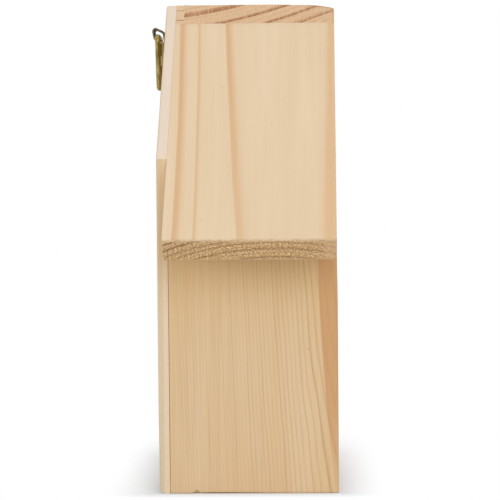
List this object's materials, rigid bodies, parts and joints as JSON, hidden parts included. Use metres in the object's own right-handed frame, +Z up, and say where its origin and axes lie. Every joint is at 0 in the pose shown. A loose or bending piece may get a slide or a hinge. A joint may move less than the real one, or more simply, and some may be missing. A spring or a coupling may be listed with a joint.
{
  "type": "bee house",
  "caption": "Gabled wooden house open at the front, stacked with bored bamboo canes for nesting bees, with a back panel and a hanging ring that swings up over the ridge.",
  "frame": {"origin": "under the ridge, on the flat underside of the floor board, halfway between the front and back edges of the boards", "axes": "+X to the right as seen from the open front, -Y out of the open front, +Y out of the back panel, +Z up to the ridge"},
  "size_m": [0.177, 0.0714, 0.1828],
  "materials": {
    "roof_pine": "bare planed softwood, pale cream with wavy orange-tan grain",
    "wall_pine": "bare planed softwood, golden tan with fine upright growth lines",
    "panel_ply": "bare thin plywood, sanded",
    "bamboo": "dry bamboo, satin skin, sawn ends",
    "brass": "antique brass plate, dull",
    "pin_steel": "bright wire"
  },
  "bodies": {
    "house": {"floor_board": "wall_pine", "left_wall": "wall_pine", "right_wall": "wall_pine", "left_roof_board": "roof_pine", "right_roof_board": "roof_pine", "back_panel": "panel_ply", "hanger_strap": "brass", "hanger_screw": "brass", "panel_pin_1": "pin_steel", "panel_pin_2": "pin_steel", "panel_pin_3": "pin_steel", "panel_pin_4": "pin_steel", "panel_pin_5": "pin_steel", "panel_pin_6": "pin_steel", "panel_pin_7": "pin_steel", "panel_pin_8": "pin_steel", "panel_pin_9": "pin_steel", "cane_01": "bamboo", "cane_02": "bamboo", "cane_03": "bamboo", "cane_04": "bamboo", "cane_05": "bamboo", "cane_06": "bamboo", "cane_07": "bamboo", "cane_08": "bamboo", "cane_09": "bamboo", "cane_10": "bamboo", "cane_11": "bamboo", "cane_12": "bamboo", "cane_13": "bamboo", "cane_14": "bamboo", "cane_15": "bamboo", "cane_16": "bamboo", "cane_17": "bamboo", "cane_18": "bamboo", "cane_19": "bamboo", "cane_20": "bamboo", "cane_21": "bamboo", "cane_22": "bamboo", "cane_23": "bamboo", "cane_24": "bamboo", "cane_25": "bamboo", "cane_26": "bamboo", "cane_27": "bamboo", "cane_28": "bamboo", "cane_29": "bamboo", "cane_30": "bamboo", "cane_31": "bamboo", "cane_32": "bamboo", "cane_33": "bamboo", "cane_34": "bamboo", "cane_35": "bamboo", "cane_36": "bamboo", "cane_37": "bamboo", "cane_38": "bamboo", "cane_39": "bamboo", "cane_40": "bamboo", "cane_41": "bamboo", "cane_42": "bamboo"},
    "hanging_ring": {"hanger_ring": "brass"}
  },
  "joints": [
    {"name": "ring_swing", "type": "hinge", "parent": "house", "child": "hanging_ring", "pos_m": [0, 0.0381, 0.1704], "axis": [1, 0, 0], "range_deg": [0, 180]}
  ]
}
